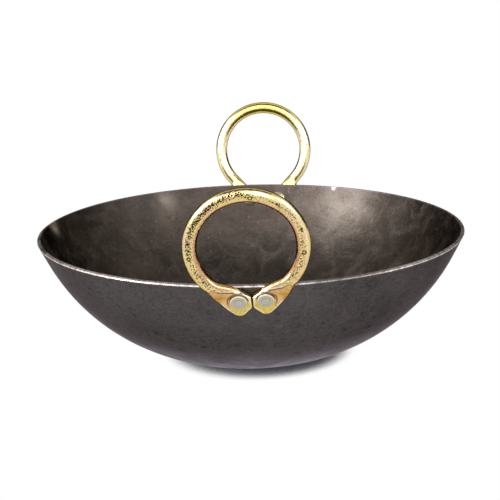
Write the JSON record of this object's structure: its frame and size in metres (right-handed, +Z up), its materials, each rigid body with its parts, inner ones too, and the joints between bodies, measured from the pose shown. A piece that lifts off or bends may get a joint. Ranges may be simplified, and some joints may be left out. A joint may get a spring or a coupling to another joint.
{
  "type": "kadai",
  "caption": "Deep round-bottomed steel cooking pan with a small flat base, flared straight upper wall, square-cut rim and upright gold ring handles riveted on opposite sides",
  "frame": {"origin": "middle of the flat base's underside, on the bowl's axis", "axes": "+Z up along the bowl's axis, -Y through the middle of the front handle's rivets, +X to the right as seen from the front"},
  "size_m": [0.2996, 0.3443, 0.1546],
  "materials": {
    "raw_steel": "dark raw carbon steel sheet, mottled, worn bright at the rim",
    "gold_plated_steel": "yellow zinc plating over forged rod, pitted, with pink and green tints",
    "rivet_steel": "hammered flat, grey-green"
  },
  "bodies": {
    "root": {"bowl": "raw_steel", "front_handle": "gold_plated_steel", "back_handle": "gold_plated_steel", "front_left_rivet": "rivet_steel", "front_right_rivet": "rivet_steel", "back_left_rivet": "rivet_steel", "back_right_rivet": "rivet_steel"}
  },
  "joints": []
}
